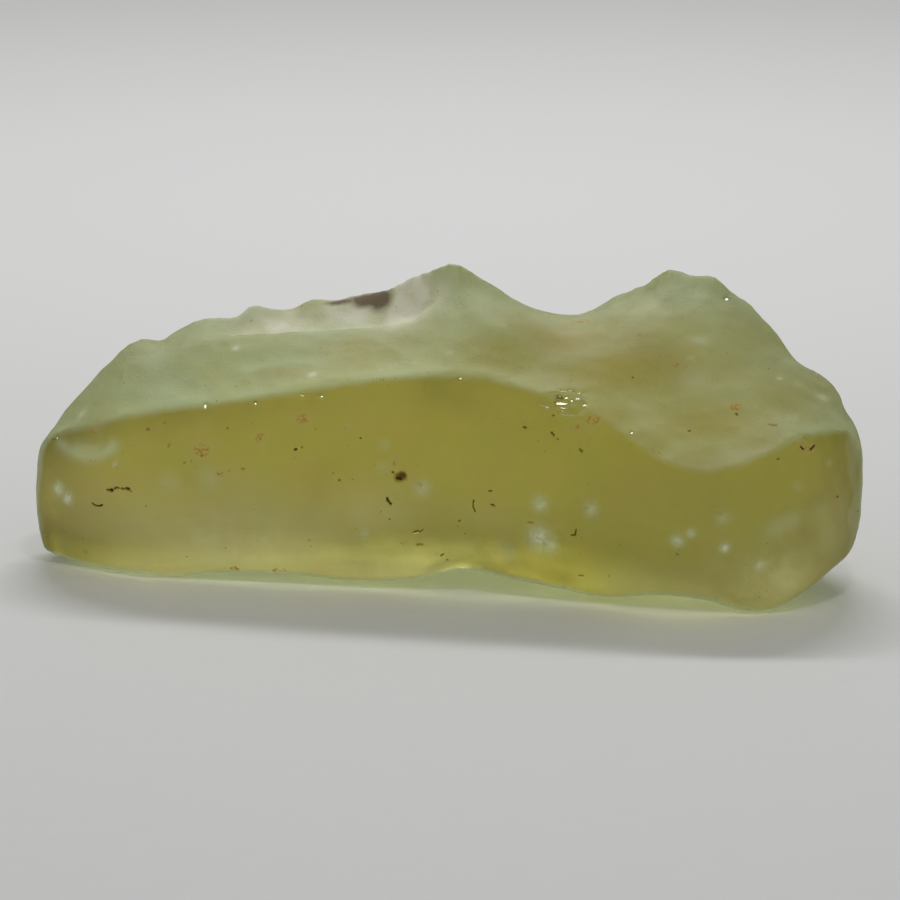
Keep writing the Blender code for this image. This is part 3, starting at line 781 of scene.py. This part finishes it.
def paint(mesh, tree):
    """Stores what the finish needs at each point, from frost and milky veil to crust and chalk."""
    points = coordinates(mesh)
    outward = normals(mesh)
    upper = ramp(above_ridge(points), -RIDGE_BLUR / 2, RIDGE_BLUR / 2)
    ends = np.maximum(ramp(np.abs(outward[:, 0]), *END_FACING), brushed(points, tree, LIPS))
    base = ramp(-outward[:, 2], *BASE_FACING)
    back = ramp(outward[:, 1], *BACK_FACING)
    veil = upper * (1.0 - covered(points, tree, CLEARINGS))
    store(mesh, "frost", np.maximum(upper, ends))
    store(mesh, "veil", np.maximum(veil, ends))
    store(mesh, "milk", np.maximum(veil * (1.0 - BACK_CLEARING * back), ends))
    store(mesh, "base", base)
    # The haze patches hold painted light on the thin far rim as well.
    for name, patches in (("stain", STAINS), ("haze", HAZES_AND_PAINTED_BACKLIGHT), ("crust", CRUST)):
        store(mesh, name, covered(points, tree, patches))
    # Painted shade along the foot of the front, and higher up on the right.
    painted_shade = brushed(points, tree, PAINTED_SHADE_BANDS)
    store(mesh, "painted_shade", painted_shade)
    # Films of clay and painted light, kept off the underside and the painted shade.
    store(mesh, "film", covered(points, tree, FILMS_AND_PAINTED_LIGHT) * (1.0 - base) * (1.0 - painted_shade))
    milky = [
        (FRONT, [(x, z)], MILK_WIDTH * size, MILKINESS / (MILK_DEPTH + depth))
        for x, z, size, depth in WHITE_SPOTS
    ]
    store(mesh, "chalk", brushed(points, tree, CHALK + milky))


# Materials.


class NodeSheet:
    """A material's node tree, with short ways to add nodes and join them."""

    def __init__(self, name):
        self.material = bpy.data.materials.new(name)
        self.material.use_nodes = True
        self.nodes = self.material.node_tree.nodes
        self.links = self.material.node_tree.links
        self.shader = self.nodes["Principled BSDF"]
        self.output = self.nodes["Material Output"]

    def put(self, socket, value):
        """Joins a socket to another socket, or sets it to a number or a colour."""
        if isinstance(value, bpy.types.NodeSocket):
            self.links.new(value, socket)
        elif isinstance(value, (int, float)):
            socket.default_value = value
        else:
            socket.default_value = (*value, 1.0)

    def node(self, kind, output, inputs, **settings):
        """One of the outputs of a new node with these settings and inputs."""
        node = self.nodes.new(kind)
        for name, value in settings.items():
            setattr(node, name, value)
        for socket, value in inputs.items():
            self.put(node.inputs[socket], value)
        return node.outputs[output]

    def attribute(self, name):
        """A value stored on the mesh."""
        return self.node("ShaderNodeAttribute", "Fac", {}, attribute_name=name)

    def place(self):
        """The place on the object."""
        return self.node("ShaderNodeTexCoord", "Object", {})

    def mix(self, amount, first, second):
        """The first colour at 0, and the second at 1."""
        inputs = {"Factor": amount, "A": first, "B": second}
        return self.node("ShaderNodeMix", "Result", inputs, data_type="RGBA")

    def blend(self, amount, first, second):
        """The first number at 0, and the second at 1."""
        inputs = {"Factor": amount, "A": first, "B": second}
        return self.node("ShaderNodeMix", "Result", inputs, data_type="FLOAT")

    def math(self, operation, first, second):
        """Arithmetic, kept from 0 to 1 where it could leave that."""
        clamp = operation in ("MULTIPLY", "ADD", "SUBTRACT")
        inputs = {0: first, 1: second}
        return self.node("ShaderNodeMath", "Value", inputs, operation=operation, use_clamp=clamp)

    def noise(self, size, detail, roughness=0.5):
        """Noise whose features are about size millimetres across, from 0 to 1."""
        scale = 1.0 / (size * MM)
        inputs = {"Vector": self.place(), "Scale": scale, "Detail": detail, "Roughness": roughness}
        return self.node("ShaderNodeTexNoise", "Fac", inputs)

    def between(self, value, low, high):
        """A value spread out, from 0 at low to 1 at high."""
        inputs = {"Value": value, "From Min": low, "From Max": high}
        return self.node("ShaderNodeMapRange", "Result", inputs)

    def pattern(self, name):
        """One of the mottled patterns, from 0 to 1."""
        size, detail, roughness, low, high = PATTERNS[name]
        return self.between(self.noise(size, detail, roughness), low, high)

    def bump(self, height, distance, strength):
        """Relief of a height from 0 to 1 over a distance in millimetres."""
        inputs = {"Height": height, "Distance": distance * MM, "Strength": strength}
        return self.node("ShaderNodeBump", "Normal", inputs)


def coverings(sheet):
    """What lies on and in the skin: patterns, stored values, and how strongly each covering shows."""
    cover = {name: sheet.pattern(name) for name in ("mottle", "fleck", "speck", "dust", "cloud", "tone")}
    # The stored values include the painted shade on the front.
    for name in ("clay", "rust", "polish", "frost", "veil", "milk", "base", "painted_shade"):
        cover[name] = sheet.attribute(name)
    for name, pattern, low, high in (
        ("stain", "mottle", 0.8, 1.3),
        # The films, which are partly painted light.
        ("film", "mottle", 0.75, 1.0),
        ("haze", "mottle", 0.65, 1.1),
        ("crust", "mottle", 0.7, 1.0),
        ("chalk", "fleck", 0.55, 1.25),
    ):
        cover[name] = sheet.math("MULTIPLY", sheet.attribute(name), sheet.blend(cover[pattern], low, high))
    cover["crust"] = sheet.between(cover["crust"], 0.22, 0.62)
    strong = sheet.between(sheet.attribute("stain"), 0.33, 0.55)
    specks = sheet.math("MULTIPLY", strong, cover["speck"])
    cover["rust specks"] = sheet.math("MAXIMUM", specks, sheet.math("MULTIPLY", cover["dust"], 0.7))
    return cover


def glass_tint(sheet, glass, cover):
    """The skin's colour, from the bare glass up to what lies on it, and painted shade and light."""
    veil = sheet.mix(cover["cloud"], glass.frost_colour, glass.cloud_colour)
    tint = sheet.mix(cover["tone"], glass.skin_colour, glass.tone_colour)
    for share, colour in (
        # Painted shade on the front.
        (cover["painted_shade"], glass.painted_shade_colour),
        (cover["veil"], veil),
        (cover["base"], glass.base_colour),
        (sheet.math("MULTIPLY", cover["polish"], 0.6), glass.chip_colour),
        (cover["stain"], glass.wash_colour),
        # Clay film and painted light low on the front.
        (cover["film"], glass.film_and_painted_light_colour),
        # Milky haze, and painted light on the thin far rim.
        (cover["haze"], glass.haze_and_painted_backlight_colour),
        (cover["chalk"], glass.white_colour),
        (cover["rust specks"], glass.stain_colour),
        (cover["crust"], glass.crust_colour),
        (cover["clay"], sheet.mix(cover["rust"], glass.clay_colour, glass.stain_colour)),
    ):
        tint = sheet.mix(share, tint, colour)
    return tint


def glass_clarity(sheet, glass, cover):
    """The share of the light that passes through the skin."""
    veiled = sheet.blend(cover["cloud"], glass.frost_clarity - 0.04, glass.frost_clarity + 0.06)
    veiled = sheet.math("SUBTRACT", veiled, sheet.math("MULTIPLY", cover["mottle"], 0.10))
    clear = sheet.blend(cover["milk"], glass.skin_clarity, veiled)
    for share, value in (
        (cover["base"], 0.97),
        (sheet.math("MULTIPLY", cover["stain"], 0.5), 0.3),
        (cover["polish"], 1.0),
        # The films, clay and painted light alike, let no light through.
        (cover["film"], 0.0),
        (cover["haze"], 0.03),
        (cover["chalk"], 0.0),
        (sheet.math("MULTIPLY", cover["rust specks"], 0.8), 0.0),
        (cover["crust"], 0.1),
        (cover["clay"], 0.0),
    ):
        clear = sheet.blend(share, clear, value)
    return clear


def glass_roughness(sheet, glass, cover):
    """Satin in front, rougher where the sand has frosted it, and glossy on the fresh chips."""
    rough = sheet.blend(cover["frost"], glass.skin_roughness, glass.frost_roughness)
    rough = sheet.math("ADD", rough, sheet.math("MULTIPLY", cover["fleck"], 0.06))
    rough = sheet.blend(cover["polish"], rough, glass.chip_roughness)
    return sheet.blend(cover["clay"], rough, 0.75)


def glass_relief(sheet, cover):
    """The finest grain and dents, which the mesh is too coarse for."""
    grain = sheet.math("MULTIPLY", sheet.noise(0.22, 3.0, 0.6), sheet.blend(cover["frost"], 0.35, 1.0))
    dents = sheet.math("MULTIPLY", sheet.noise(1.1, 2.0), sheet.blend(cover["frost"], 0.2, 1.0))
    rough = sheet.math("ADD", sheet.math("MULTIPLY", grain, 0.4), sheet.math("MULTIPLY", dents, 0.6))
    wave = sheet.math("MULTIPLY", sheet.noise(0.5, 2.0), 0.05)
    return sheet.bump(sheet.blend(cover["polish"], rough, wave), 0.10, 0.8)


def desert_glass_finish(glass):
    """Frosted yellow-green glass with stains, haze, clay in the pits, glossy chips, painted shade and
    light.
    """
    sheet = NodeSheet("desert_glass_finish")
    shader = sheet.shader.inputs
    cover = coverings(sheet)
    sheet.put(shader["Base Color"], glass_tint(sheet, glass, cover))
    sheet.put(shader["Transmission Weight"], glass_clarity(sheet, glass, cover))
    sheet.put(shader["Roughness"], glass_roughness(sheet, glass, cover))
    sheet.put(shader["Normal"], glass_relief(sheet, cover))
    sheet.put(shader["IOR"], glass.refraction)
    sheet.put(shader["Specular IOR Level"], glass.sheen_level)
    absorb = sheet.nodes.new("ShaderNodeVolumeAbsorption")
    sheet.put(absorb.inputs["Color"], glass.body_colour)
    sheet.put(absorb.inputs["Density"], glass.body_density)
    sheet.links.new(absorb.outputs["Volume"], sheet.output.inputs["Volume"])
    return sheet.material


def white_finish(glass):
    """Soft white silica spherules with a faint blue cast."""
    sheet = NodeSheet("white_inclusions")
    shader = sheet.shader.inputs
    cloud = sheet.pattern("white cloud")
    sheet.put(shader["Base Color"], sheet.mix(cloud, glass.white_colour, glass.white_cloud_colour))
    sheet.put(shader["Roughness"], sheet.blend(cloud, 0.8, 1.0))
    sheet.put(shader["Specular IOR Level"], 0.0)
    return sheet.material


def table_finish(table):
    """Plain pale tabletop with a barely visible grain."""
    sheet = NodeSheet("pale_table")
    shader = sheet.shader.inputs
    grain = sheet.noise(3.0, 4.0)
    darker = [FLOOR_SHADE * value for value in table.floor_colour]
    sheet.put(shader["Base Color"], sheet.mix(grain, table.floor_colour, darker))
    sheet.put(shader["Roughness"], sheet.blend(grain, 0.55, 0.62))
    sheet.put(shader["Specular IOR Level"], 0.3)
    return sheet.material


# Operators.


def shown(name, mesh, material):
    """A new object of the mesh, with its material."""
    mesh.materials.clear()
    mesh.materials.append(material)
    piece = bpy.data.objects.new(name, mesh)
    bpy.context.scene.collection.objects.link(piece)
    return piece


class DESERTGLASS_OT_lump(bpy.types.Operator):
    """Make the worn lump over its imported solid"""

    bl_idname = "desert_glass.lump"
    bl_label = "Worn Lump"

    def execute(self, context):
        settings = context.scene.desert_glass
        mesh = remeshed(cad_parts[NODE], settings.lump.grain)
        smooth(mesh, settings.lump.smoothing)
        tree = surface_of(mesh)
        refine(mesh, pit_paths(tree), middles(tree, SCOOPS), middles(tree, FACETS))
        weather(mesh, settings.lump)
        tree = surface_of(mesh)
        paint(mesh, tree)
        carve(mesh, pit_paths(tree), middles(tree, SCOOPS))
        cut_facets(mesh, middles(surface_of(mesh), FACETS), viewpoint(settings.table))
        mesh.shade_smooth()
        lump = shown("worn_lump", mesh, desert_glass_finish(settings.glass))
        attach(lump, BODY)
        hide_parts(NODE)
        return {"FINISHED"}


class DESERTGLASS_OT_inclusions(bpy.types.Operator):
    """Make the white spherules inside the lump"""

    bl_idname = "desert_glass.inclusions"
    bl_label = "White Inclusions"

    def execute(self, context):
        settings = context.scene.desert_glass
        tree = surface_of(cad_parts[NODE].data)
        cloud = bmesh.new()
        chance = random.Random(SEED)
        spots = [(FRONT, (x, z), size, depth) for x, z, size, depth in WHITE_SPOTS]
        for side, (low, high), (bottom, top), count in SCATTER:
            for _ in range(count // 2):
                place = chance.uniform(low, high), chance.uniform(bottom, top)
                size = chance.uniform(*RANDOM_SPOT_SIZE)
                spots.append((side, place, size, chance.uniform(*RANDOM_SPOT_DEPTH)))
        for side, place, size, depth in spots:
            heart = placed(tree, side, place) + INWARD[side] * (depth + size / 2) * MM
            add_spherule(cloud, heart, CORE * size * MM)
            for _ in range(SATELLITES):
                aside = [chance.uniform(-SATELLITE_SPREAD, SATELLITE_SPREAD) * size for _ in range(3)]
                radius = CORE * size * chance.uniform(*SATELLITE_SIZE) * MM
                add_spherule(cloud, heart + Vector(aside) * MM, radius)
        mesh = bpy.data.meshes.new("white_inclusions")
        cloud.to_mesh(mesh)
        cloud.free()
        mesh.shade_smooth()
        spherules = shown("white_inclusions", mesh, white_finish(settings.glass))
        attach(spherules, BODY)
        return {"FINISHED"}


def add_spherule(cloud, centre, radius):
    """Adds one lumpy ball to the cloud."""
    ball = bmesh.ops.create_icosphere(cloud, subdivisions=SPHERULE_LEVELS, radius=radius)
    for vert in ball["verts"]:
        vert.co *= 1.0 + LUMPINESS * noise.noise(vert.co / radius * LUMP_PITCH + centre / MM)
        vert.co += centre


class DESERTGLASS_OT_table(bpy.types.Operator):
    """Set out the table, the lights and the camera"""

    bl_idname = "desert_glass.table"
    bl_label = "Table and Light"

    def execute(self, context):
        table = context.scene.desert_glass.table
        floor = bmesh.new()
        bmesh.ops.create_grid(floor, x_segments=SQUARES, y_segments=SQUARES, size=TABLE_HALF_WIDTH)
        mesh = bpy.data.meshes.new("table")
        floor.to_mesh(mesh)
        floor.free()
        shown("table", mesh, table_finish(table))
        room_light(context.scene, table)
        softbox("softbox", SOFTBOX_PLACE, SOFTBOX_SIZE, table.softbox_power)
        softbox("sparkle", SPARKLE_PLACE, SPARKLE_SIZE, table.sparkle_power)
        camera(context.scene, table)
        context.scene.view_settings.view_transform = "Standard"
        return {"FINISHED"}


def room_light(scene, table):
    """Even light from all round."""
    world = bpy.data.worlds.new("room")
    world.use_nodes = True
    background = world.node_tree.nodes["Background"]
    background.inputs["Color"].default_value = (*table.room_colour, 1.0)
    background.inputs["Strength"].default_value = table.room_light
    scene.world = world


def softbox(name, place, size, power):
    """A rectangular light that faces the lump."""
    light = bpy.data.lights.new(name, "AREA")
    light.shape = "RECTANGLE"
    light.size, light.size_y = size
    light.energy = power
    lamp = bpy.data.objects.new(name, light)
    lamp.location = place
    lamp.rotation_euler = (Vector(LOOK_AT) * MM - Vector(place)).to_track_quat("-Z", "Y").to_euler()
    bpy.context.scene.collection.objects.link(lamp)


def camera(scene, table):
    """A camera that looks along +Y and down on the tall front face."""
    lens = bpy.data.cameras.new("camera")
    lens.sensor_width = SENSOR
    lens.lens = LENS
    lens.clip_start = CLIP_START
    view = bpy.data.objects.new("camera", lens)
    view.location = viewpoint(table)
    view.rotation_euler = (Vector(LOOK_AT) * MM - view.location).to_track_quat("-Z", "Y").to_euler()
    scene.collection.objects.link(view)
    scene.camera = view


class DESERTGLASS_PT_sidebar(bpy.types.Panel):
    """Lists the pieces and their settings"""

    bl_label = "Desert Glass"
    bl_idname = "DESERTGLASS_PT_sidebar"
    bl_space_type = "VIEW_3D"
    bl_region_type = "UI"
    bl_category = "Desert Glass"

    def draw(self, context):
        settings = context.scene.desert_glass
        for group, operator in (
            (settings.lump, DESERTGLASS_OT_lump),
            (settings.glass, DESERTGLASS_OT_inclusions),
            (settings.table, DESERTGLASS_OT_table),
        ):
            box = self.layout.box()
            for name in group.__annotations__:
                box.prop(group, name)
            box.operator(operator.bl_idname)


CLASSES = (
    LumpSettings,
    GlassSettings,
    TableSettings,
    DesertGlassSettings,
    DESERTGLASS_OT_lump,
    DESERTGLASS_OT_inclusions,
    DESERTGLASS_OT_table,
    DESERTGLASS_PT_sidebar,
)


def register():
    """Makes the settings, operators and panel known."""
    for part in CLASSES:
        bpy.utils.register_class(part)
    bpy.types.Scene.desert_glass = PointerProperty(type=DesertGlassSettings)


def unregister():
    """Takes them away again."""
    del bpy.types.Scene.desert_glass
    for part in reversed(CLASSES):
        bpy.utils.unregister_class(part)


def main():
    """Builds the scene."""
    register()
    bpy.ops.desert_glass.lump()
    bpy.ops.desert_glass.inclusions()
    bpy.ops.desert_glass.table()


if __name__ == "__main__":
    main()
